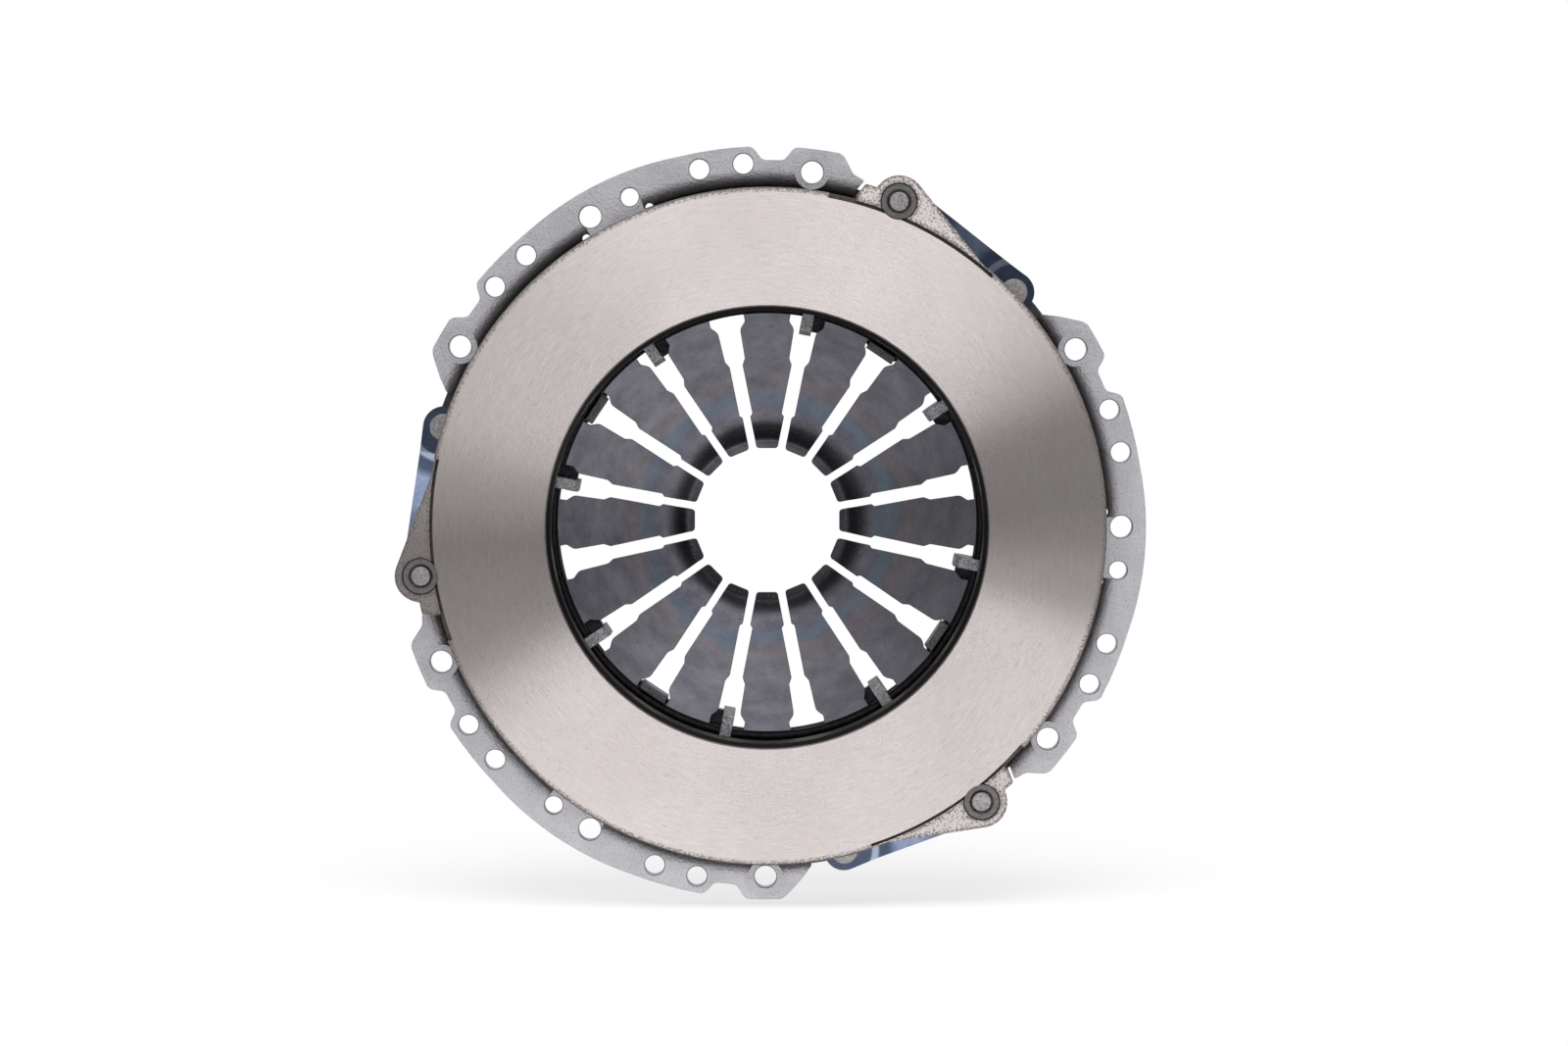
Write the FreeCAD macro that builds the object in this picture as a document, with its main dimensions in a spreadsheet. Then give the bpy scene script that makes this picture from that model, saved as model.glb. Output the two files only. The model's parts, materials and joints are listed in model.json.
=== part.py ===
"""Push-type diaphragm clutch pressure plate: cover, cast plate, diaphragm spring, fulcrum rings and straps.

The clutch axis is Y. The friction face looks towards -Y and the spring fingers towards +Y, with +Z up.
The origin lies on the axis, in the plane of the cover's mounting flange. Lengths are millimetres.
Angles in the plane of the flange run from +X towards +Z, as someone facing the friction face sees them.
"""

import FreeCAD, Part
import math
import os
import re
import Sketcher

SIZES = [
    # cover flange
    ("flange_radius", 137.5),
    ("sheet_thickness", 4.0),
    ("flange_bend_radius", 6.0),
    ("sector_count", 3),
    ("sector_angle", 116.24),
    ("sector_half_angle", 39.8),
    ("sector_end_radius", 7.0),
    ("bolt_circle_radius", 129.15),
    ("bolt_hole_radius", 4.05),
    ("dowel_hole_radius", 3.3),
    ("spare_circle_radius", 131.5),
    ("spare_hole_radius", 3.65),
    ("end_bolt_angle", 33.5),
    ("outer_spare_angle", 22.47),
    ("inner_spare_angle", 15.47),
    ("middle_hole_angle", 3.54),
    ("notch_angle", 27.2),
    ("notch_depth", 4.9),
    ("notch_width", 8.3),
    ("crown_radius", 115.0),
    ("crown_height", 0.7),
    ("crown_angle", 16.0),
    ("bolt_pad_radius", 6.4),
    ("screw_room_radius", 4.3),
    ("ear_foot_angle", 2.2),
    ("lug_foot_angle", 1.4),
    # cover bowl
    ("wall_radius", 123.6),
    ("wall_height", 13.0),
    ("wall_draft", 7.0),
    ("shoulder_angle", 48.0),
    ("bowl_bend_radius", 5.0),
    ("opening_radius", 77.8),
    ("window_half_angle", 6.8),
    ("tongue_half_angle", 5.1),
    ("tongue_radius", 122.7),
    ("relief_radius", 1.5),
    ("window_height", 12.5),
    # recesses for the straps
    ("floor_depth", 8.3),
    ("floor_wall_radius", 111.0),
    ("floor_half_angle", 21.3),
    ("floor_corner_radius", 5.0),
    ("lug_radius", 7.7),
    ("access_radius", 8.5),
    # hooks and centring tabs at the cover's opening
    ("hook_count", 8),
    ("hook_angle", -11.25),
    ("hook_width", 4.2),
    ("hook_inner_radius", 70.5),
    ("hook_reach", 3.4),
    ("hook_nose", 3.0),
    ("hook_base_width", 10.0),
    ("hook_chamfer", 1.6),
    ("centring_count", 4),
    ("centring_angle", 56.25),
    ("centring_width", 10.8),
    ("centring_base_width", 14.5),
    ("centring_base_radius", 74.8),
    ("fold_radius", 3.0),
    # pressure plate casting
    ("face_radius", 122.2),
    ("face_stand_off", 17.0),
    ("plate_bore_radius", 78.2),
    ("plate_thickness", 13.2),
    ("bore_chamfer", 1.9),
    ("rim_chamfer", 0.5),
    ("rim_back_chamfer", 2.5),
    ("ridge_radius", 97.0),
    ("ridge_crest_radius", 3.0),
    ("ridge_foot", 3.4),
    ("ridge_gap_count", 12),
    ("ridge_gap_width", 12.0),
    ("ridge_gap_floor", 2.5),
    ("ear_angle", 68.0),
    ("ear_circle_radius", 126.3),
    ("ear_end_radius", 9.3),
    ("ear_drop", 3.0),
    ("ear_thickness", 10.5),
    ("ear_tail_angle", 19.8),
    ("ear_heel_angle", 7.0),
    ("ear_heel_radius", 128.4),
    ("ear_step_radius", 120.3),
    ("ear_step_heel", 11.5),
    ("ear_groove_width", 1.4),
    ("ear_groove_depth", 2.0),
    # diaphragm spring
    ("spring_radius", 99.5),
    ("spring_thickness", 2.6),
    ("cone_angle", 15.0),
    ("fulcrum_depth", 17.2),
    ("finger_count", 16),
    ("tip_radius", 27.0),
    ("tip_corner_radius", 1.3),
    ("curl_start_radius", 38.5),
    ("curl_end_radius", 31.0),
    ("curl_angle", 23.0),
    ("tip_angle", 7.0),
    ("inner_slot_width", 2.85),
    ("middle_slot_width", 4.85),
    ("outer_slot_width", 7.45),
    ("slot_end_width", 12.9),
    ("middle_slot_radius", 40.3),
    ("outer_slot_radius", 61.0),
    ("slot_flare_radius", 72.0),
    ("slot_end_radius", 78.0),
    # fulcrum rings
    ("ring_radius", 79.05),
    ("ring_wire_radius", 1.85),
    # straps and rivets
    ("leaf_count", 3),
    ("leaf_thickness", 0.7),
    ("leaf_width", 15.0),
    ("leaf_end", 7.5),
    ("leaf_flat", 10.0),
    ("leaf_bend_radius", 4.0),
    ("strap_sweep", 24.7),
    ("lug_circle_radius", 123.6),
    ("rivet_shank_radius", 3.9),
    ("rivet_pin_radius", 3.6),
    ("rivet_head_radius", 6.6),
    ("rivet_head_height", 2.2),
    ("collar_radius", 6.6),
    ("collar_height", 2.4),
    ("collar_chamfer", 0.9),
    ("collar_recess", 3.0),
    ("cover_rivet_radius", 3.4),
    ("cover_head_radius", 5.0),
    ("cover_head_height", 1.5),
    ("cover_tail_radius", 5.4),
    ("cover_tail_height", 2.6),
    # clearances
    ("rivet_clearance", 0.1),
    ("leaf_gap", 0.04),
    ("spring_clearance", 0.15),
    ("ridge_clearance", 0.6),
    ("hook_clearance", 0.08),
]

PLACES = [
    # the cover's sheet, seen in its section: x is the radius and y the depth behind the flange
    ("ring_offset", "(spring_thickness / 2 + ring_wire_radius) / cos(cone_angle) + spring_clearance"),
    ("front_ring_depth", "fulcrum_depth - ring_offset"),
    ("rear_ring_depth", "fulcrum_depth + ring_offset"),
    ("back_depth", "rear_ring_depth + ring_wire_radius + hook_clearance"),
    ("knee_radius", "wall_radius - wall_height * tan(wall_draft)"),
    ("heel_radius", "knee_radius - (back_depth - wall_height) * tan(shoulder_angle)"),
    ("crown_centre", "flange_radius + crown_height - crown_radius"),
    # the pressure plate
    ("face_depth", "-face_stand_off"),
    ("plate_back_depth", "face_depth + plate_thickness"),
    ("ear_front_depth", "face_depth + ear_drop"),
    ("ear_back_depth", "ear_front_depth + ear_thickness"),
    ("collar_depth", "ear_front_depth + collar_recess"),
    ("spring_front_depth", "fulcrum_depth - spring_thickness / 2 / cos(cone_angle)"),
    ("ridge_spring_depth", "spring_front_depth - (ridge_radius - ring_radius) * tan(cone_angle)"),
    ("ridge_depth", "ridge_spring_depth - ridge_crest_radius / cos(cone_angle)"
                    " - ridge_clearance + ridge_crest_radius"),
    # the hooks
    ("hook_seat_depth", "front_ring_depth - ring_wire_radius - hook_clearance"),
    ("hook_front_depth", "hook_seat_depth - hook_nose"),
    ("hook_stem_radius", "ring_radius - ring_wire_radius - hook_clearance"),
    # the straps: their rivets and the frame they are built in
    ("lug_angle", "ear_angle - strap_sweep"),
    ("ear_x", "ear_circle_radius * cos(ear_angle)"),
    ("ear_z", "ear_circle_radius * sin(ear_angle)"),
    ("lug_x", "lug_circle_radius * cos(lug_angle)"),
    ("lug_z", "lug_circle_radius * sin(lug_angle)"),
    ("strap_length", "sqrt((ear_x - lug_x)^2 + (ear_z - lug_z)^2)"),
    ("strap_angle", "180 - atan((ear_z - lug_z) / (lug_x - ear_x)) / 1 deg"),
    ("leaf_pitch", "leaf_thickness + leaf_gap"),
    ("stack_height", "leaf_pitch * leaf_count"),
    ("strap_rise", "floor_depth - stack_height - ear_back_depth"),
]

document = FreeCAD.newDocument("ClutchPressurePlate")
CELLS = {}


def fill_sheet(name, rows):
    """A sheet whose first column names each size and whose second holds its value or formula."""
    sheet = document.addObject("Spreadsheet::Sheet", name)
    for row, (alias, content) in enumerate(rows, start=1):
        sheet.set(f"A{row}", alias)
        sheet.set(f"B{row}", "=" + bind(content) if isinstance(content, str) else str(content))
        sheet.setAlias(f"B{row}", alias)
    CELLS.update({alias: f"{name}.{alias}" for alias, content in rows})
    document.recompute()
    return sheet


def bind(text):
    """The expression with each size's name pointing at its cell."""
    return re.sub(r"[a-z]\w*", lambda word: CELLS.get(word.group(0), word.group(0)), str(text))


sizes = fill_sheet("Sizes", SIZES)
places = fill_sheet("Places", PLACES)


def value(text):
    """The number that an expression of sizes comes to now."""
    return float(sizes.evalExpression(bind(text)))


def polar(radius, angle):
    """A point of the flange plane by its radius and angle."""
    return f"({radius}) * cos({angle})", f"({radius}) * sin({angle})"


def new_body(name):
    body = document.addObject("PartDesign::Body", name)
    body.Label = name
    return body


def origin_part(body, role):
    """The body's own origin plane or axis with this role."""
    return next(item for item in body.Origin.OriginFeatures if item.Role == role)


def new_sketch(body, name, role, offset="0", turn="0"):
    """A sketch on an origin plane, moved along its normal and then turned about the clutch axis."""
    sketch = body.newObject("Sketcher::SketchObject", name)
    sketch.AttachmentSupport = (origin_part(body, role), [""])
    sketch.MapMode = "FlatFace"
    axis = (0, 1, 0) if role == "XY_Plane" else (0, 0, 1)
    sketch.AttachmentOffset = FreeCAD.Placement(FreeCAD.Vector(), FreeCAD.Rotation(FreeCAD.Vector(*axis), 1))
    sketch.setExpression("AttachmentOffset.Rotation.Angle", bind(turn))
    sketch.setExpression("AttachmentOffset.Base.z", bind(offset))
    document.recompute()
    return sketch


def plan_sketch(body, name, depth="0", angle="0"):
    """A sketch across the clutch axis at this depth behind the flange plane, turned to this angle."""
    return new_sketch(body, name, "XZ_Plane", f"-({depth})", angle)


def section_sketch(body, name, angle="0"):
    """A sketch in the half plane through the clutch axis at this angle: radius across, depth up."""
    return new_sketch(body, name, "XY_Plane", "0", f"-({angle})")


def pin_point(sketch, geometry, end, x, y):
    """Ties a point of the sketch to two expressions."""
    for kind, text in (("DistanceX", x), ("DistanceY", y)):
        index = sketch.addConstraint(Sketcher.Constraint(kind, -1, 1, geometry, end, value(text)))
        sketch.setExpression(f"Constraints[{index}]", bind(text))


def tie_radius(sketch, geometry, radius):
    index = sketch.addConstraint(Sketcher.Constraint("Radius", geometry, value(radius)))
    sketch.setExpression(f"Constraints[{index}]", bind(radius))


def circle(sketch, x, y, radius):
    centre = FreeCAD.Vector(value(x), value(y), 0)
    index = sketch.addGeometry(Part.Circle(centre, FreeCAD.Vector(0, 0, 1), value(radius)), False)
    pin_point(sketch, index, 3, x, y)
    tie_radius(sketch, index, radius)


def corner_arc(before, corner, after, radius):
    """Where a rounding leaves the corner's two sides, and its arc. The flag says if it turns left."""
    back = (before - corner).normalize()
    ahead = (after - corner).normalize()
    half = back.getAngle(ahead) / 2
    reach = radius / math.tan(half)
    start = corner + back * reach
    end = corner + ahead * reach
    centre = corner + (back + ahead).normalize() * (radius / math.sin(half))
    left = back.cross(ahead).z < 0
    first, last = (start, end) if left else (end, start)
    angles = [math.atan2(point.y - centre.y, point.x - centre.x) for point in (first, last)]
    if angles[1] < angles[0]:
        angles[1] += 2 * math.pi
    arc = Part.ArcOfCircle(Part.Circle(centre, FreeCAD.Vector(0, 0, 1), radius), *angles)
    return start, end, arc, left


def outline(sketch, corners):
    """A closed outline through corners of two expressions each, with a third where one is rounded."""
    count = len(corners)
    points = [FreeCAD.Vector(value(corner[0]), value(corner[1]), 0) for corner in corners]
    entries, exits, arcs = [], [], []
    for k, corner in enumerate(corners):
        if len(corner) == 3:
            start, end, arc, left = corner_arc(
                points[k - 1], points[k], points[(k + 1) % count], value(corner[2]))
            entries.append(start)
            exits.append(end)
            arcs.append((arc, left))
        else:
            entries.append(points[k])
            exits.append(points[k])
            arcs.append(None)
    sides = [
        sketch.addGeometry(Part.LineSegment(exits[k], entries[(k + 1) % count]), False)
        for k in range(count)
    ]
    for k, corner in enumerate(corners):
        before, after = sides[k - 1], sides[k]
        if arcs[k] is None:
            sketch.addConstraint(Sketcher.Constraint("Coincident", before, 2, after, 1))
            pin_point(sketch, after, 1, corner[0], corner[1])
            continue
        arc, left = arcs[k]
        index = sketch.addGeometry(arc, False)
        first, last = (1, 2) if left else (2, 1)
        sketch.addConstraint(Sketcher.Constraint("Tangent", before, 2, index, first))
        sketch.addConstraint(Sketcher.Constraint("Tangent", index, last, after, 1))
        tie_radius(sketch, index, corner[2])
        sharp = sketch.addGeometry(Part.Point(points[k]), True)
        sketch.addConstraint(Sketcher.Constraint("PointOnObject", sharp, 1, before))
        sketch.addConstraint(Sketcher.Constraint("PointOnObject", sharp, 1, after))
        pin_point(sketch, sharp, 1, corner[0], corner[1])


def feature(body, kind, name, sketch, **settings):
    """A feature of the sketch, with plain settings and sizes given as text expressions."""
    item = body.newObject(f"PartDesign::{kind}", name)
    item.Profile = sketch
    for key, setting in settings.items():
        if isinstance(setting, str) and key in ("Length", "Angle"):
            item.setExpression(key, bind(setting))
        else:
            setattr(item, key, setting)
    sketch.Visibility = False
    document.recompute()
    return item


def revolve(body, name, sketch, kind="Revolution"):
    return feature(body, kind, name, sketch, ReferenceAxis=(sketch, ["V_Axis"]), Angle="360")


def pad_back(body, name, sketch, length):
    """Adds the sketch's outline from its plane towards the fingers."""
    return feature(body, "Pad", name, sketch, Length=length, Reversed=True)


def cut_back(body, name, sketch, length):
    """Removes the sketch's outline from its plane towards the fingers, and checks that it cuts."""
    before = body.Shape.Volume
    pocket = feature(body, "Pocket", name, sketch, Length=length)
    if body.Shape.Volume > before - 0.1:
        raise RuntimeError(f"{name} cuts nothing")
    return pocket


def around(body, name, features, count):
    """Repeats features about the clutch axis."""
    pattern = body.newObject("PartDesign::PolarPattern", name)
    pattern.Originals = features
    pattern.Axis = (origin_part(body, "Y_Axis"), [""])
    pattern.Angle = 360
    pattern.setExpression("Occurrences", bind(count))
    body.Tip = pattern
    document.recompute()
    return pattern


def skin_corner(x, y, before, after):
    """The point one sheet thickness outside a corner whose sides have these normals' angles."""
    mean = f"(({before}) + ({after})) / 2"
    half = f"(({after}) - ({before})) / 2"
    reach = f"sheet_thickness / cos({half})"
    return f"({x}) + {reach} * cos({mean})", f"({y}) + {reach} * sin({mean})"


def sector_outline(inner, outer, middle, half, rounding=None):
    """Corners of a piece of a ring in the flange plane, its ends straight and radial."""
    inside = [polar(inner, f"{middle} + {half}"), polar(inner, f"{middle} - {half}")]
    if rounding:
        inside = [(*corner, rounding) for corner in inside]
    far = f"({outer}) / cos({half})"
    return inside + [polar(far, f"{middle} - {half}"), polar(far, f"{middle} + {half}")]


def sheet_shell():
    """The cover's pressed bowl with its strap recesses, as an outer form less an inner one."""
    cavity = new_body("cover_cavity")
    section = section_sketch(cavity, "cavity_section")
    outline(section, [
        ("0", "-sheet_thickness"),
        ("flange_radius + sheet_thickness", "-sheet_thickness"),
        ("flange_radius + sheet_thickness", "0"),
        ("wall_radius", "0", "flange_bend_radius"),
        ("knee_radius", "wall_height", "bowl_bend_radius"),
        ("heel_radius", "back_depth", "bowl_bend_radius"),
        ("0", "back_depth"),
    ])
    revolve(cavity, "cavity_bowl", section)
    recess = plan_sketch(cavity, "cavity_recess_plan", "floor_depth")
    outline(recess, sector_outline(
        "floor_wall_radius", "flange_radius", "sector_angle - 180 / sector_count",
        "floor_half_angle", "floor_corner_radius"))
    step = cut_back(cavity, "cavity_recess", recess, "back_depth")
    around(cavity, "cavity_recesses", [step], "sector_count")

    cover = new_body("cover")
    section = section_sketch(cover, "cover_section")
    knee = skin_corner("knee_radius", "wall_height", "wall_draft", "shoulder_angle")
    heel = skin_corner("heel_radius", "back_depth", "shoulder_angle", "90")
    shelf = skin_corner("wall_radius", "0", "wall_draft", "90")
    outline(section, [
        ("opening_radius", "0"),
        ("flange_radius", "0"),
        ("flange_radius", "sheet_thickness"),
        (*shelf, "flange_bend_radius - sheet_thickness"),
        (*knee, "bowl_bend_radius + sheet_thickness"),
        (*heel, "bowl_bend_radius + sheet_thickness"),
        ("opening_radius", "back_depth + sheet_thickness"),
    ])
    revolve(cover, "cover_bowl", section)
    recess = plan_sketch(cover, "cover_recess_plan", "floor_depth + sheet_thickness")
    outline(recess, sector_outline(
        "floor_wall_radius + sheet_thickness", "flange_radius", "sector_angle - 180 / sector_count",
        "floor_half_angle - sheet_thickness / floor_wall_radius * 180 / pi", "floor_corner_radius"))
    step = cut_back(cover, "cover_recess", recess, "back_depth")
    around(cover, "cover_recesses", [step], "sector_count")
    hollow = cover.newObject("PartDesign::Boolean", "cover_hollow")
    hollow.Type = "Cut"
    hollow.addObjects([cavity])
    cover.Tip = hollow
    document.recompute()
    return cover


def strap_openings(cover):
    """Cuts the flange and wall open over each strap, with rounded flange ends that stand on feet."""
    plan = plan_sketch(cover, "strap_opening_plan", "-sheet_thickness")
    middle = "sector_angle - 180 / sector_count"
    half = "(180 / sector_count - sector_half_angle)"

    # each side's corners run from the wall outwards; the feet reach into the opening
    lug_side = [
        ("wall_radius - 3 * sheet_thickness", f"({half} - lug_foot_angle)", None),
        ("wall_radius + 2.6", f"({half} - lug_foot_angle)", "1"),
        ("wall_radius + 4.9", f"({half} - 0.3 * lug_foot_angle)", "2"),
        ("flange_radius - sector_end_radius", f"({half} + 0.4)", "sector_end_radius"),
        ("flange_radius - 0.1", f"({half} + 3.5)", "sector_end_radius"),
        ("flange_radius + 1.5", f"({half} + 7.4)", None),
        ("flange_radius + 30", f"({half} + 7.4)", None),
    ]
    ear_side = [
        ("wall_radius - 3 * sheet_thickness", f"({half} - 0.5 * ear_foot_angle)", None),
        ("wall_radius + 1.3", f"({half} - 0.5 * ear_foot_angle)", "1"),
        ("wall_radius + 6.4", f"({half} - ear_foot_angle)", "0.6"),
        ("wall_radius + 7.6", f"({half} - 0.1 * ear_foot_angle)", "3"),
        ("flange_radius - 0.1", f"({half} + 2)", "5"),
        ("flange_radius + 1.5", f"({half} + 7)", None),
        ("flange_radius + 30", f"({half} + 7)", None),
    ]
    corners = []
    for sign, row in ((-1, lug_side), (1, ear_side[::-1])):
        for radius, angle, rounding in row:
            point = polar(radius, f"{middle} + {sign} * {angle}")
            corners.append((*point, rounding) if rounding else point)
    outline(plan, corners)
    opening = cut_back(cover, "strap_opening", plan, "floor_depth + sheet_thickness")
    around(cover, "strap_openings", [opening], "sector_count")


def flange_notches(cover):
    """Two flat-bottomed notches in the outer edge of each flange sector."""
    cuts = []
    for name, sign in (("first", 1), ("second", -1)):
        plan = plan_sketch(cover, f"{name}_notch_plan", "-sheet_thickness")
        middle = f"(sector_angle + {sign} * notch_angle)"
        half = "(notch_width / 2 / flange_radius * 180 / pi)"
        row = [
            ("flange_radius + 1", f"({half} + 4)", None),
            ("flange_radius - 0.2", f"({half} + 1.4)", "notch_depth * 0.8"),
            ("flange_radius - notch_depth", half, "notch_depth * 0.55"),
        ]
        corners = []
        for way, points in ((-1, row), (1, row[::-1])):
            for radius, angle, rounding in points:
                point = polar(radius, f"{middle} + {way} * {angle}")
                corners.append((*point, rounding) if rounding else point)
        corners.append(polar("flange_radius * 1.1", middle))
        outline(plan, corners)
        cuts.append(cut_back(cover, f"{name}_notch", plan, "3 * sheet_thickness"))
    around(cover, "flange_notches", cuts, "sector_count")


def flange_crowns(cover):
    """The slightly stronger curve of each flange sector's middle, as a sliver on its edge."""
    plan = plan_sketch(cover, "crown_plan", "0", "sector_angle")
    drop = "1.2"
    end_x = f"crown_centre + crown_radius * cos(crown_angle) - {drop}"
    end_y = f"crown_radius * sin(crown_angle) + {drop} / tan(crown_angle)"
    outline(plan, [
        (end_x, f"-({end_y})"),
        ("crown_centre + crown_radius / cos(crown_angle)", "0", "crown_radius"),
        (end_x, end_y),
    ])
    crown = pad_back(cover, "crown", plan, "sheet_thickness")
    around(cover, "crowns", [crown], "sector_count")


def bolt_pads(cover):
    """Flats round the end bolts, where the bend is pressed back, and room for the screws behind."""
    plan = plan_sketch(cover, "bolt_pad_plan")
    room = plan_sketch(cover, "screw_room_plan", "sheet_thickness")
    for angle in ("end_bolt_angle", "-end_bolt_angle"):
        place = polar("bolt_circle_radius", f"sector_angle + {angle}")
        circle(plan, *place, "bolt_pad_radius")
        circle(room, *place, "screw_room_radius")
    pad = pad_back(cover, "bolt_pad", plan, "sheet_thickness")
    around(cover, "bolt_pads", [pad], "sector_count")
    cut = cut_back(cover, "screw_room", room, "back_depth")
    around(cover, "screw_rooms", [cut], "sector_count")


def wall_windows(cover):
    """A flat tongue of the flange over a window in the wall, at the middle of each sector."""
    plan = plan_sketch(cover, "window_plan", "sheet_thickness")
    outline(plan, sector_outline(
        "floor_wall_radius", "wall_radius + flange_bend_radius", "sector_angle", "window_half_angle"))
    window = cut_back(cover, "window", plan, "window_height")
    around(cover, "windows", [window], "sector_count")
    plan = plan_sketch(cover, "tongue_plan")
    outline(plan, sector_outline(
        "tongue_radius", "wall_radius + flange_bend_radius", "sector_angle", "tongue_half_angle"))
    tongue = pad_back(cover, "tongue", plan, "sheet_thickness")
    around(cover, "tongues", [tongue], "sector_count")
    plan = plan_sketch(cover, "relief_plan", "-sheet_thickness")
    angle = "(window_half_angle + tongue_half_angle) / 2"
    for sign in ("+", "-"):
        circle(plan, *polar("tongue_radius + 0.5", f"sector_angle {sign} {angle}"), "relief_radius")
    relief = cut_back(cover, "relief", plan, "3 * sheet_thickness")
    around(cover, "reliefs", [relief], "sector_count")


def flange_holes(cover):
    """Bolt, dowel and spare holes of one sector, repeated for each sector."""
    plan = plan_sketch(cover, "flange_hole_plan", "-sheet_thickness")
    holes = [
        ("bolt_circle_radius", "bolt_hole_radius", "end_bolt_angle"),
        ("spare_circle_radius", "spare_hole_radius", "outer_spare_angle"),
        ("spare_circle_radius", "spare_hole_radius", "inner_spare_angle"),
        ("bolt_circle_radius", "bolt_hole_radius", "middle_hole_angle"),
        ("bolt_circle_radius", "dowel_hole_radius", "-middle_hole_angle"),
        ("spare_circle_radius", "spare_hole_radius", "-inner_spare_angle"),
        ("spare_circle_radius", "spare_hole_radius", "-outer_spare_angle"),
        ("bolt_circle_radius", "bolt_hole_radius", "-end_bolt_angle"),
    ]
    for ring, radius, angle in holes:
        circle(plan, *polar(ring, f"sector_angle + {angle}"), radius)
    cut = cut_back(cover, "flange_hole", plan, "3 * sheet_thickness")
    around(cover, "flange_holes", [cut], "sector_count")


def strap_lugs(cover):
    """A round lug under each strap's cover rivet, and the way in to the rivet of the plate's ear."""
    plan = plan_sketch(cover, "lug_plan", "floor_depth")
    circle(plan, "lug_x", "lug_z", "lug_radius")
    lug = pad_back(cover, "lug", plan, "sheet_thickness")
    around(cover, "lugs", [lug], "sector_count")
    plan = plan_sketch(cover, "lug_hole_plan", "0")
    circle(plan, "lug_x", "lug_z", "cover_rivet_radius + rivet_clearance")
    circle(plan, "ear_x", "ear_z", "access_radius")
    hole = cut_back(cover, "lug_hole", plan, "floor_depth + 2 * sheet_thickness")
    around(cover, "lug_holes", [hole], "sector_count")


def hook_tabs(cover):
    """Tabs folded up through the spring's slots, each with a nose over the front fulcrum ring."""
    side = section_sketch(cover, "hook_side", "hook_angle")
    bottom = "back_depth + sheet_thickness"
    outline(side, [
        ("hook_inner_radius", f"{bottom} - fold_radius"),
        ("hook_inner_radius", "hook_front_depth + hook_chamfer"),
        ("hook_inner_radius + hook_chamfer", "hook_front_depth"),
        ("hook_stem_radius + hook_reach", "hook_front_depth", "0.8"),
        ("hook_stem_radius + hook_reach", "hook_seat_depth"),
        ("hook_stem_radius", "hook_seat_depth"),
        ("hook_stem_radius", "back_depth"),
        ("opening_radius + fold_radius", "back_depth"),
        ("opening_radius + fold_radius", bottom),
        ("hook_inner_radius + fold_radius", bottom),
    ])
    stem = feature(cover, "Pad", "hook_stem", side, Length="hook_width", Midplane=True)
    fold = plan_sketch(cover, "hook_fold", "back_depth", "hook_angle")
    outline(fold, [
        ("hook_inner_radius + 1.6", "0"),
        ("hook_inner_radius + 1.6", "-hook_base_width", "fold_radius"),
        ("opening_radius + fold_radius", "-hook_base_width"),
        ("opening_radius + fold_radius", "0"),
    ])
    base = pad_back(cover, "hook_base", fold, "sheet_thickness")
    around(cover, "hooks", [stem, base], "hook_count")


def centring_tabs(cover):
    """Tabs folded up inside both fulcrum rings, which they keep on the axis."""
    side = section_sketch(cover, "centring_side", "centring_angle")
    bottom = "back_depth + sheet_thickness"
    inner = "hook_stem_radius - sheet_thickness * 0.8"
    outline(side, [
        (inner, bottom, "fold_radius + sheet_thickness * 0.5"),
        (inner, "front_ring_depth - ring_wire_radius", "0.6"),
        ("hook_stem_radius", "front_ring_depth - ring_wire_radius", "0.6"),
        ("hook_stem_radius", "back_depth"),
        ("opening_radius + fold_radius", "back_depth"),
        ("opening_radius + fold_radius", bottom),
    ])
    tab = feature(cover, "Pad", "centring_tab", side, Length="centring_width", Midplane=True)
    plan = plan_sketch(cover, "centring_base_plan", "back_depth", "centring_angle")
    outline(plan, [
        ("centring_base_radius", "-centring_base_width / 2", "fold_radius"),
        ("opening_radius + fold_radius", "-centring_base_width / 2"),
        ("opening_radius + fold_radius", "centring_base_width / 2"),
        ("centring_base_radius", "centring_base_width / 2", "fold_radius"),
    ])
    base = pad_back(cover, "centring_base", plan, "sheet_thickness")
    around(cover, "centring_tabs", [tab, base], "centring_count")


def make_cover():
    cover = sheet_shell()
    strap_openings(cover)
    flange_crowns(cover)
    flange_notches(cover)
    bolt_pads(cover)
    wall_windows(cover)
    flange_holes(cover)
    strap_lugs(cover)
    hook_tabs(cover)
    centring_tabs(cover)
    return cover


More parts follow.
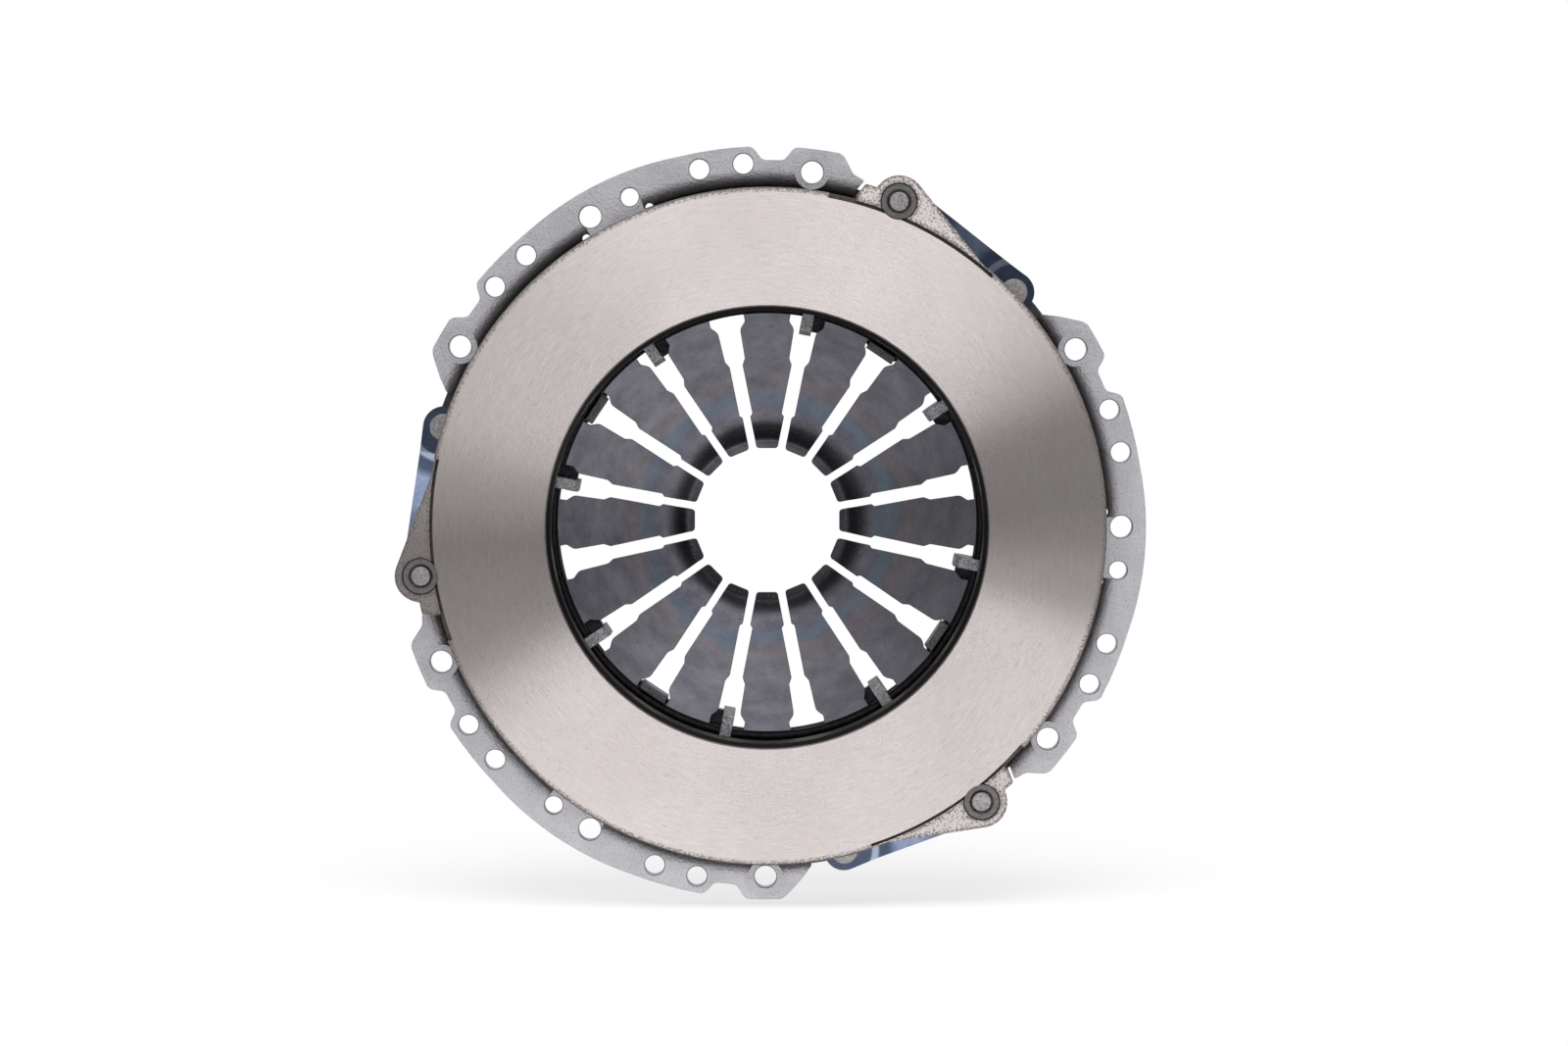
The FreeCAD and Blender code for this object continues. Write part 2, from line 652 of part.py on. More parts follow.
def make_pressure_plate():
    """The cast ring: ground face, a broken ridge that carries the spring, and three strap ears."""
    plate = new_body("pressure_plate")
    section = section_sketch(plate, "plate_section")
    foot = "(ridge_crest_radius + ridge_foot)"
    outline(section, [
        ("plate_bore_radius + bore_chamfer", "face_depth"),
        ("face_radius - rim_chamfer", "face_depth"),
        ("face_radius", "face_depth + rim_chamfer"),
        ("face_radius", "plate_back_depth - rim_back_chamfer"),
        ("face_radius - rim_back_chamfer", "plate_back_depth"),
        (f"ridge_radius + {foot}", "plate_back_depth", "3"),
        ("ridge_radius + ridge_crest_radius", "ridge_depth", "ridge_crest_radius * 0.99"),
        ("ridge_radius - ridge_crest_radius", "ridge_depth", "ridge_crest_radius * 0.99"),
        (f"ridge_radius - {foot}", "plate_back_depth", "3"),
        ("plate_bore_radius + bore_chamfer", "plate_back_depth"),
        ("plate_bore_radius", "plate_back_depth - bore_chamfer"),
        ("plate_bore_radius", "face_depth + bore_chamfer"),
    ])
    revolve(plate, "plate_ring", section)

    plan = plan_sketch(plate, "ridge_gap_plan", "plate_back_depth + ridge_gap_floor")
    outline(plan, [
        ("ridge_radius - ridge_crest_radius - 2 * ridge_foot", "-ridge_gap_width / 2"),
        ("ridge_radius + ridge_crest_radius + 2 * ridge_foot", "-ridge_gap_width / 2"),
        ("ridge_radius + ridge_crest_radius + 2 * ridge_foot", "ridge_gap_width / 2"),
        ("ridge_radius - ridge_crest_radius - 2 * ridge_foot", "ridge_gap_width / 2"),
    ])
    gap = cut_back(plate, "ridge_gap", plan, "ridge_depth + plate_thickness")
    around(plate, "ridge_gaps", [gap], "ridge_gap_count")

    plan = plan_sketch(plate, "ear_plan", "ear_front_depth")
    ear_outline(plan)
    ear = pad_back(plate, "ear", plan, "ear_thickness")
    plan = plan_sketch(plate, "ear_heel_plan", "ear_front_depth")
    outline(plan, [
        polar("face_radius - 9", "ear_angle + 2"),
        polar("ear_heel_radius", "ear_angle + 2"),
        (*polar("ear_heel_radius", "ear_angle + ear_heel_angle - 1"), "0.8"),
        polar("face_radius + 1.2", "ear_angle + ear_heel_angle"),
        polar("face_radius - 9", "ear_angle + ear_heel_angle"),
    ])
    heel = pad_back(plate, "ear_heel", plan, "ear_thickness")
    around(plate, "ears", [ear, heel], "sector_count")

    groove_floor = "ear_front_depth + ear_groove_depth"
    groove_edge = "ear_step_radius + ear_groove_width"
    steps = [
        turned_step(plate, "ear_step", "ear_circle_radius + 2 * ear_end_radius", "ear_front_depth",
                    "-ear_tail_angle", "ear_step_heel"),
        turned_step(plate, "ear_groove", groove_edge, groove_floor, "-ear_tail_angle", "ear_heel_angle"),
        turned_step(plate, "rim_relief", "face_radius + 4", groove_floor, "ear_heel_angle - 0.3", "ear_step_heel"),
    ]
    around(plate, "ear_steps", steps, "sector_count")

    plan = plan_sketch(plate, "collar_seat_plan", "face_depth")
    circle(plan, "ear_x", "ear_z", "collar_radius + rivet_clearance")
    seat = cut_back(plate, "collar_seat", plan, "ear_drop + collar_recess")
    plan = plan_sketch(plate, "ear_hole_plan", "face_depth")
    circle(plan, "ear_x", "ear_z", "rivet_shank_radius + rivet_clearance")
    hole = cut_back(plate, "ear_hole", plan, "plate_thickness + ear_thickness")
    around(plate, "ear_seats", [seat, hole], "sector_count")
    return plate


def turned_step(plate, name, outer, depth, first, last):
    """Cuts the rim from the ears' step radius out and down to a depth, between two angles from the ear."""
    section = section_sketch(plate, f"{name}_section", f"ear_angle + (({first}) + ({last})) / 2")
    outline(section, [
        ("ear_step_radius", "face_depth - 2"),
        (outer, "face_depth - 2"),
        (outer, depth),
        ("ear_step_radius", depth),
    ])
    return feature(plate, "Groove", name, section, ReferenceAxis=(section, ["V_Axis"]),
                   Angle=f"({last}) - ({first})", Midplane=True)


def ear_outline(sketch):
    """A round end about the rivet, with a long straight tail one way along the rim and a short slope the other."""
    centre = FreeCAD.Vector(value("ear_x"), value("ear_z"), 0)
    radius = value("ear_end_radius")
    inner = "face_radius - 9"
    tail = polar("face_radius - 1", "ear_angle - ear_tail_angle")
    heel = polar("face_radius + 2.6", "ear_angle + ear_heel_angle - 2")
    tail_root = polar(inner, "ear_angle - ear_tail_angle")
    heel_root = polar(inner, "ear_angle + ear_heel_angle - 2")
    way_round = (heel, heel_root, tail_root, tail)

    def tangent_angle(point, way):
        """The angle on the round end where a line from the point touches it."""
        arm = FreeCAD.Vector(value(point[0]), value(point[1]), 0) - centre
        return math.atan2(arm.y, arm.x) + way * math.acos(radius / arm.Length)

    first, last = tangent_angle(tail, 1), tangent_angle(heel, -1)
    if last < first:
        last += 2 * math.pi
    arc = Part.ArcOfCircle(Part.Circle(centre, FreeCAD.Vector(0, 0, 1), radius), first, last)
    stops = [FreeCAD.Vector(value(x), value(y), 0) for x, y in way_round]
    ends = [arc.EndPoint] + stops + [arc.StartPoint]
    bend = sketch.addGeometry(arc, False)
    pin_point(sketch, bend, 3, "ear_x", "ear_z")
    tie_radius(sketch, bend, "ear_end_radius")
    lines = [
        sketch.addGeometry(Part.LineSegment(ends[k], ends[k + 1]), False) for k in range(len(ends) - 1)
    ]
    sketch.addConstraint(Sketcher.Constraint("Tangent", bend, 2, lines[0], 1))
    sketch.addConstraint(Sketcher.Constraint("Tangent", lines[-1], 2, bend, 1))
    for before, after, point in zip(lines, lines[1:], way_round):
        sketch.addConstraint(Sketcher.Constraint("Coincident", before, 2, after, 1))
        pin_point(sketch, after, 1, *point)


def spring_line(side):
    """The spring's section from rim to finger tip, half a thickness to one side of its middle."""
    away = f"{side} * spring_thickness / 2"

    def shifted(x, y, before, after):
        """A corner moved off the middle line, square to the mean of its two slopes."""
        mean = f"(({before}) + ({after})) / 2"
        reach = f"{away} / cos((({after}) - ({before})) / 2)"
        return f"({x}) + {reach} * sin({mean})", f"({y}) + {reach} * cos({mean})"

    rise = "fulcrum_depth - (spring_radius - ring_radius) * tan(cone_angle)"
    curl = "fulcrum_depth + (ring_radius - curl_start_radius) * tan(cone_angle)"
    hook = f"{curl} + (curl_start_radius - curl_end_radius) * tan(curl_angle)"
    tip = f"{hook} + (curl_end_radius - tip_radius + 2) * tan(tip_angle)"
    return [
        shifted("spring_radius", rise, "cone_angle", "cone_angle"),
        (*shifted("curl_start_radius", curl, "cone_angle", "curl_angle"), "12"),
        (*shifted("curl_end_radius", hook, "curl_angle", "tip_angle"), "5"),
        shifted("tip_radius - 2", tip, "tip_angle", "tip_angle"),
    ]


def make_diaphragm_spring():
    """A coned disc slit into fingers, its slots widening in steps and its tips curled and cut straight."""
    spring = new_body("diaphragm_spring")
    section = section_sketch(spring, "spring_section")
    outline(section, spring_line(-1) + spring_line(1)[::-1])
    revolve(spring, "spring_disc", section)
    half = "180 / finger_count"
    plan = plan_sketch(spring, "slot_plan", "0", half)
    edge = [
        (f"tip_radius * cos({half}) - inner_slot_width * sin({half})",
         f"tip_radius * sin({half}) + inner_slot_width * cos({half})", None),
        (f"tip_radius * cos({half}) + (tip_radius * sin({half}) - inner_slot_width / 2) * tan({half})",
         "inner_slot_width / 2", "tip_corner_radius"),
        ("middle_slot_radius - 1", "inner_slot_width / 2", "0.3"),
        ("middle_slot_radius", "middle_slot_width / 2", "0.7"),
        ("outer_slot_radius - 2.2", "middle_slot_width / 2", "1.2"),
        ("outer_slot_radius", "outer_slot_width / 2", "1.2"),
        ("slot_flare_radius", "outer_slot_width / 2 + 0.42", "3"),
        ("slot_end_radius - 3.6", "slot_end_width / 2", "1.2"),
        ("slot_end_radius", "slot_end_width / 2", "1.2"),
    ]
    corners = [("tip_radius / 3", "0")]
    for sign, row in (("-", edge), ("", edge[::-1])):
        for x, y, rounding in row:
            corners.append((x, f"{sign}({y})", rounding) if rounding else (x, f"{sign}({y})"))
    outline(plan, corners)
    slot = cut_back(spring, "slot", plan, "fulcrum_depth + spring_radius")
    around(spring, "slots", [slot], "finger_count")
    return spring


def make_fulcrum_ring(name, depth):
    """A round wire ring that the spring rocks on."""
    ring = new_body(name)
    section = section_sketch(ring, f"{name}_section")
    circle(section, "ring_radius", depth, "ring_wire_radius")
    revolve(ring, f"{name}_wire", section)
    return ring


def place_at_station(body, station, radius, angle, turn="0"):
    """Moves a piece built round the clutch axis out to its point on one of the stations."""
    step = f"({station} * 360 / sector_count)"
    x, z = polar(radius, f"{angle} - {step}")
    body.Placement = FreeCAD.Placement(FreeCAD.Vector(), FreeCAD.Rotation(FreeCAD.Vector(0, 1, 0), 1))
    body.setExpression("Placement.Base.x", bind(x))
    body.setExpression("Placement.Base.z", bind(z))
    body.setExpression("Placement.Rotation.Angle", bind(f"{step} - ({turn})"))
    document.recompute()


def make_strap_leaf(name, station, layer):
    """One flat spring of a strap: level at both rivets and sloping between them."""
    leaf = new_body(name)
    side = section_sketch(leaf, f"{name}_side")
    back = f"floor_depth - {layer} * leaf_pitch"
    near, far = "-leaf_end - 1", "strap_length + leaf_end + 1"
    lower = [
        (near, back),
        ("leaf_flat", back, "leaf_bend_radius"),
        ("strap_length - leaf_flat", f"{back} - strap_rise", "leaf_bend_radius"),
        (far, f"{back} - strap_rise"),
    ]
    upper = [
        (far, f"{back} - strap_rise - leaf_thickness"),
        ("strap_length - leaf_flat", f"{back} - strap_rise - leaf_thickness", "leaf_bend_radius"),
        ("leaf_flat", f"{back} - leaf_thickness", "leaf_bend_radius"),
        (near, f"{back} - leaf_thickness"),
    ]
    outline(side, lower + upper)
    feature(leaf, "Pad", f"{name}_strip", side, Length="leaf_width", Midplane=True)
    plan = plan_sketch(leaf, f"{name}_ends", "ear_back_depth - leaf_width")
    edge = "leaf_width"
    for start, way in (("0", -1), ("strap_length", 1)):
        end = f"({start} + {way} * leaf_end)"
        outline(plan, [
            (f"{start} + {way} * 3 * leaf_end", f"-{edge}"),
            (f"{start} + {way} * 3 * leaf_end", edge),
            (start, edge),
            (start, "leaf_width * 0.498"),
            (end, "leaf_width * 0.498", "leaf_width * 0.485"),
            (end, "-leaf_width * 0.498", "leaf_width * 0.485"),
            (start, "-leaf_width * 0.498"),
            (start, f"-{edge}"),
        ])
    circle(plan, "0", "0", "cover_rivet_radius + rivet_clearance")
    circle(plan, "strap_length", "0", "rivet_shank_radius + rivet_clearance")
    cut_back(leaf, f"{name}_trim", plan, "floor_depth + 3 * leaf_width")
    place_at_station(leaf, station, "lug_circle_radius", "lug_angle", "strap_angle")
    return leaf


def make_turned(name, station, radius, angle, corners):
    """A turned or headed piece at a station, from its half section."""
    piece = new_body(name)
    section = section_sketch(piece, f"{name}_section")
    outline(section, corners)
    revolve(piece, f"{name}_solid", section)
    place_at_station(piece, station, radius, angle)
    return piece


def make_plate_rivet(station):
    """Headed behind the strap; its pin comes through the collar in the ear's front."""
    back = "ear_back_depth + stack_height"
    front = "collar_depth - collar_height + 0.2"
    return make_turned(f"plate_rivet_{station + 1}", station, "ear_circle_radius", "ear_angle", [
        ("0", front),
        ("rivet_pin_radius", front, "0.5"),
        ("rivet_pin_radius", "collar_depth + leaf_gap"),
        ("rivet_shank_radius", "collar_depth + leaf_gap"),
        ("rivet_shank_radius", back),
        ("rivet_head_radius", back),
        ("rivet_head_radius", f"{back} + rivet_head_height", "rivet_head_height * 0.4"),
        ("0", f"{back} + rivet_head_height"),
    ])


def make_rivet_collar(station):
    """A ring pressed on the plate rivet's pin, bevelled inside round the pin."""
    front = "collar_depth - collar_height"
    return make_turned(f"rivet_collar_{station + 1}", station, "ear_circle_radius", "ear_angle", [
        ("rivet_pin_radius + leaf_gap", "collar_depth"),
        ("rivet_pin_radius + leaf_gap", f"{front} + collar_chamfer"),
        ("rivet_pin_radius + collar_chamfer", front),
        ("collar_radius - 0.3", front),
        ("collar_radius", f"{front} + 0.3"),
        ("collar_radius", "collar_depth"),
    ])


def make_cover_rivet(station):
    """A flat head on the strap and a rounded tail behind the cover's lug."""
    front = "floor_depth - stack_height"
    back = "floor_depth + sheet_thickness"
    return make_turned(f"cover_rivet_{station + 1}", station, "lug_circle_radius", "lug_angle", [
        ("0", f"{front} - cover_head_height"),
        ("cover_head_radius", f"{front} - cover_head_height", "0.4"),
        ("cover_head_radius", front),
        ("cover_rivet_radius", front),
        ("cover_rivet_radius", back),
        ("cover_tail_radius", back),
        ("cover_tail_radius", f"{back} + cover_tail_height", "cover_tail_height * 0.6"),
        ("0", f"{back} + cover_tail_height"),
    ])


def make_straps():
    """The strap leaves, rivets and collars of every station."""
    pieces = []
    for station in range(int(value("sector_count"))):
        for layer in range(int(value("leaf_count"))):
            pieces.append(make_strap_leaf(f"strap_{station + 1}_leaf_{layer + 1}", station, layer))
        pieces.append(make_plate_rivet(station))
        pieces.append(make_rivet_collar(station))
        pieces.append(make_cover_rivet(station))
    return pieces


def write_parts(pieces):
    """Checks every object of the document and then writes each piece to its own file."""
    document.recompute()
    for item in document.Objects:
        if "Invalid" in item.State or "Error" in item.State:
            raise RuntimeError(f"{item.Name} failed: {item.State}")
    os.makedirs("parts", exist_ok=True)
    for piece in pieces:
        shape = piece.Shape
        if shape.isNull() or not shape.isValid() or len(shape.Solids) != 1:
            raise RuntimeError(f"{piece.Label} is not one sound solid")
        shape.exportStep(f"parts/{piece.Label}.step")
        print(f"{piece.Label}: {shape.Volume:.1f} mm3, {len(shape.Faces)} faces")


write_parts([
    make_cover(),
    make_pressure_plate(),
    make_diaphragm_spring(),
    make_fulcrum_ring("fulcrum_ring_front", "front_ring_depth"),
    make_fulcrum_ring("fulcrum_ring_rear", "rear_ring_depth"),
    *make_straps(),
])
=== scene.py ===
"""Studio picture of a diaphragm clutch's pressure plate, seen square on from its friction face."""

import json
import math

import bmesh
import bpy
import numpy as np
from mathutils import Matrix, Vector


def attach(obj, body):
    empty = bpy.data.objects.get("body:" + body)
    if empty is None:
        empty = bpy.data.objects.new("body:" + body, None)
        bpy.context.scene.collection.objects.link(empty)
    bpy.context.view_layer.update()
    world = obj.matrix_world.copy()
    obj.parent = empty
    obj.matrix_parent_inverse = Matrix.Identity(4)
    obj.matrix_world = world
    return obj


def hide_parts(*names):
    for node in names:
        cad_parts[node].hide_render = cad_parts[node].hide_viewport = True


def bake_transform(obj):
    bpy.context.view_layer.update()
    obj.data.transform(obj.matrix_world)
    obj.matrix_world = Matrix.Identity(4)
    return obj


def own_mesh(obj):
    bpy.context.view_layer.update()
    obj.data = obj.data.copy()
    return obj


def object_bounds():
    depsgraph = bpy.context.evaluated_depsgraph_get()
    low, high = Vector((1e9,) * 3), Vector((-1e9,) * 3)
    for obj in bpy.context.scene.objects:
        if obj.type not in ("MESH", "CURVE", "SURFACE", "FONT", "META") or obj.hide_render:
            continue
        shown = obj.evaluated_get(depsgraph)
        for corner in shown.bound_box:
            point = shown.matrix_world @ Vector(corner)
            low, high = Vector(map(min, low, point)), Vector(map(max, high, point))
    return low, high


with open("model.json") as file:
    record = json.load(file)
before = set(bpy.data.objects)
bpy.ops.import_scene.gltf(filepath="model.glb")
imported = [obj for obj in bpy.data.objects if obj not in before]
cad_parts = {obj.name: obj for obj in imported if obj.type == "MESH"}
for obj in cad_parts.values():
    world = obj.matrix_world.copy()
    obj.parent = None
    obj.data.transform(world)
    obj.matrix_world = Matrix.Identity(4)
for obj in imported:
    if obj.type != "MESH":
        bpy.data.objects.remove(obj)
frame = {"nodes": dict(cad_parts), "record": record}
cad_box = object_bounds()
nodes = frame["nodes"]

# the cover and the plate repeat three times, first at this angle, anticlockwise from the right
SECTORS = 3
FIRST_SECTOR = 116.24
# the pressure plate: depths of its face and ears, below 0 on the flywheel's side of the flange, its bore's
# radius, the radius where the ears begin, and the outer radius of the grooves beside them
FACE_DEPTH = -0.017
EAR_DEPTH = -0.014
PLATE_BORE = 0.0782
EAR_INSIDE = 0.1202
GROOVE_OUTSIDE = 0.1235
# the cover: its circles of holes, the angles of the holes from a sector's middle, their radii, and the
# radius where its hooks begin
BOLT_CIRCLE = 0.12915
BOLT_ANGLE = 33.5
MIDDLE_HOLE_ANGLE = 3.54
BOLT_HOLE = 0.00405
DOWEL_HOLE = 0.0033
SPARE_CIRCLE = 0.1315
SPARE_ANGLES = (22.47, 15.47, -15.47, -22.47)
SPARE_HOLE = 0.00365
HOOK_FOOT_RADIUS = 0.0815
# the spring: its curl's slope in degrees against the radius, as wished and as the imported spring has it
CURL_RADIUS = 0.048
CURL_STOPS = np.array([
    (0.0480, 15.0), (0.0460, 11.5), (0.0390, 11.0), (0.0370, 15.0), (0.0355, 24.0), (0.0340, 31.0),
    (0.0325, 35.0), (0.0313, 33.0), (0.0303, 20.0), (0.0295, 2.0), (0.0288, -8.0), (0.0265, -14.0),
])
PACKED_CURL = np.array([
    (0.0480, 15.0), (0.0387, 15.0), (0.0382, 23.0), (0.0315, 23.0), (0.0305, 7.0), (0.0265, 7.0),
])
CURL_STEPS = 200
# the straps: the rivets of the first one, across and up from the clutch axis, the cover's rivet also by its
# radius and its angle from a sector's middle, a leaf's flat ends, and the cuts across it
PLATE_RIVET = (0.047313, 0.117103)
COVER_RIVET = (0.089953, 0.084767)
COVER_RIVET_CIRCLE = 0.1236
COVER_RIVET_ANGLE = -72.94
STRAP_FLAT = 0.010
STRAP_CUTS = 25
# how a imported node's mesh is copied
MERGE_DISTANCE = 1e-6
FINEST_EDGE = 0.0006
FINER_ROUNDS = 3
SHARP_ANGLE = math.radians(28)


class Value:
    """A socket of a material's node tree. Sums, products and powers of these add Math nodes."""

    def __init__(self, tree, socket=None):
        self.tree = tree
        self.socket = socket

    def node(self, kind, sockets=None, settings=None, output=0):
        """Adds a node: its settings first, then its sockets' values or links, by name or number."""
        made = self.tree.nodes.new(kind)
        for name, setting in (settings or {}).items():
            if name == "stops":
                set_stops(made.color_ramp, setting)
            else:
                setattr(made, name, setting)
        for name, given in (sockets or {}).items():
            target = made.inputs[name]
            if isinstance(given, Value):
                self.tree.links.new(given.socket, target)
            else:
                target.default_value = given
        return Value(self.tree, made.outputs[output] if made.outputs else None)

    def math(self, operation, *others):
        """A Math node of this value and the others."""
        sockets = dict(enumerate((self, *others)))
        return self.node("ShaderNodeMath", sockets, {"operation": operation})

    def __add__(self, other):
        return self.math("ADD", other)

    def __radd__(self, other):
        return self.math("ADD", other)

    def __sub__(self, other):
        return self.math("SUBTRACT", other)

    def __rsub__(self, other):
        return self.node("ShaderNodeMath", {0: other, 1: self}, {"operation": "SUBTRACT"})

    def __mul__(self, other):
        return self.math("MULTIPLY", other)

    def __rmul__(self, other):
        return self.math("MULTIPLY", other)

    def __truediv__(self, other):
        return self.math("DIVIDE", other)

    def __pow__(self, other):
        return self.math("POWER", other)

    def between(self, low, high):
        """0 where this is at or under low, 1 at or over high, and smooth between. Low may be the larger."""
        return self.node(
            "ShaderNodeMapRange",
            {"Value": self, "From Min": low, "From Max": high},
            {"interpolation_type": "SMOOTHSTEP"},
        )

    def vector(self, operation, *others, output=0):
        """A Vector Math node of this vector and the others."""
        sockets = dict(enumerate((self, *others)))
        return self.node("ShaderNodeVectorMath", sockets, {"operation": operation}, output)

    def scaled(self, factor):
        """This vector times a number or a value."""
        return self.node("ShaderNodeVectorMath", {0: self, "Scale": factor}, {"operation": "SCALE"})

    def part(self, axis):
        """The x, y or z of a vector."""
        return self.node("ShaderNodeSeparateXYZ", {0: self}, output=axis)

    def blend(self, first, second):
        """The first colour where this is 0, the second where it is 1."""
        sockets = {"Factor": self, "A": first, "B": second}
        return self.node("ShaderNodeMix", sockets, {"data_type": "RGBA"}, 2)


def set_stops(ramp, stops):
    """Puts a ramp's stops at their places, each a position and a colour, from one at 0 to one at 1."""
    ramp.elements[0].color = stops[0][1]
    ramp.elements[-1].color = stops[-1][1]
    for position, colour in stops[1:-1]:
        ramp.elements.new(position).color = colour


def rgb(red, green, blue):
    """A colour from its 0 to 255 screen values, as the linear value that nodes take."""
    def linear(level):
        level = level / 255
        return level / 12.92 if level <= 0.04045 else ((level + 0.055) / 1.055) ** 2.4

    return (linear(red), linear(green), linear(blue), 1.0)


def combine(start, x, y, z):
    """A vector from its three parts."""
    return start.node("ShaderNodeCombineXYZ", {0: x, 1: y, 2: z})


def noise(place, scale, detail=2.0, roughness=0.5):
    """Soft noise round 0.5 at a place, its size set by the scale in waves per metre."""
    sockets = {"Vector": place, "Scale": scale, "Detail": detail, "Roughness": roughness}
    return place.node("ShaderNodeTexNoise", sockets)


def make_finish(name, paint):
    """A material whose surface is what paint returns for its start value."""
    material = bpy.data.materials.new(name)
    material.use_nodes = True
    tree = material.node_tree
    tree.nodes.clear()
    start = Value(tree)
    surface = paint(start)
    start.node("ShaderNodeOutputMaterial", {"Surface": surface})
    return material


def metal(start, colour, roughness, normal, metallic=1.0):
    """A metal surface: its colour, roughness and normal change over it, how metallic it is does not."""
    sockets = {"Base Color": colour, "Roughness": roughness, "Metallic": metallic, "Normal": normal}
    return start.node("ShaderNodeBsdfPrincipled", sockets)


def bump(start, height, distance, strength, normal):
    """The normal, leaning with a height's slopes."""
    sockets = {"Height": height, "Distance": distance, "Strength": strength, "Normal": normal}
    return start.node("ShaderNodeBump", sockets)


class Place:
    """Where a point of the surface is, seen from the clutch axis: its radius, turn and depth."""

    def __init__(self, start):
        self.point = start.node("ShaderNodeTexCoord", output=3)
        self.x = self.point.part(0)
        self.depth = self.point.part(1)
        self.z = self.point.part(2)
        self.radius = (self.x * self.x + self.z * self.z) ** 0.5
        self.turn = self.z.math("ARCTAN2", self.x)
        self.normal = start.node("ShaderNodeNewGeometry", output=1)
        self.outward = combine(start, self.x / self.radius, 0.0, self.z / self.radius)
        self.facing_out = self.normal.vector("DOT_PRODUCT", self.outward, output=1)

    def round_edges(self, start, radius):
        """The normal with its edges rounded, and 1 along the edges, where it leans from the flat one."""
        soft = start.node("ShaderNodeBevel", {"Radius": radius}, {"samples": 6})
        return soft, self.lean(soft).between(0.004, 0.16)

    def lean(self, soft):
        """How far a rounded normal leans from the flat one: 1 less their cosine."""
        return 1.0 - soft.vector("DOT_PRODUCT", self.normal, output=1)

    def from_hole(self, angle, radius):
        """The distance from the nearest of the sectors' like holes, at an angle from their middles.

        By the law of cosines, with the turn between the point and the nearest hole.
        """
        step = 2 * math.pi / SECTORS
        start_angle = math.radians(FIRST_SECTOR + angle) - step / 2
        turned = (self.turn - start_angle).math("FLOORED_MODULO", step) - step / 2
        together = 2 * radius * self.radius * turned.math("COSINE")
        squared = self.radius * self.radius + radius * radius - together
        return squared.math("MAXIMUM", 0.0) ** 0.5

    def from_holes(self, angles, radius):
        """The distance from the nearest of the sectors' holes at several angles, on one circle."""
        nearest = self.from_hole(angles[0], radius)
        for angle in angles[1:]:
            nearest = nearest.math("MINIMUM", self.from_hole(angle, radius))
        return nearest


def turned_grain(start, at, spread, broad):
    """The normal of a surface cut in fine circles: it leans in or out from point to point."""
    one = start.node("ShaderNodeTexWhiteNoise", {"Vector": at.point.scaled(90000.0)})
    two = start.node("ShaderNodeTexWhiteNoise", {"Vector": at.point.scaled(-70000.0)})
    lean = (one + two - 1.0) * spread + (broad - 0.5) * 0.05
    return at.normal.vector("ADD", at.outward.scaled(lean)).vector("NORMALIZE")


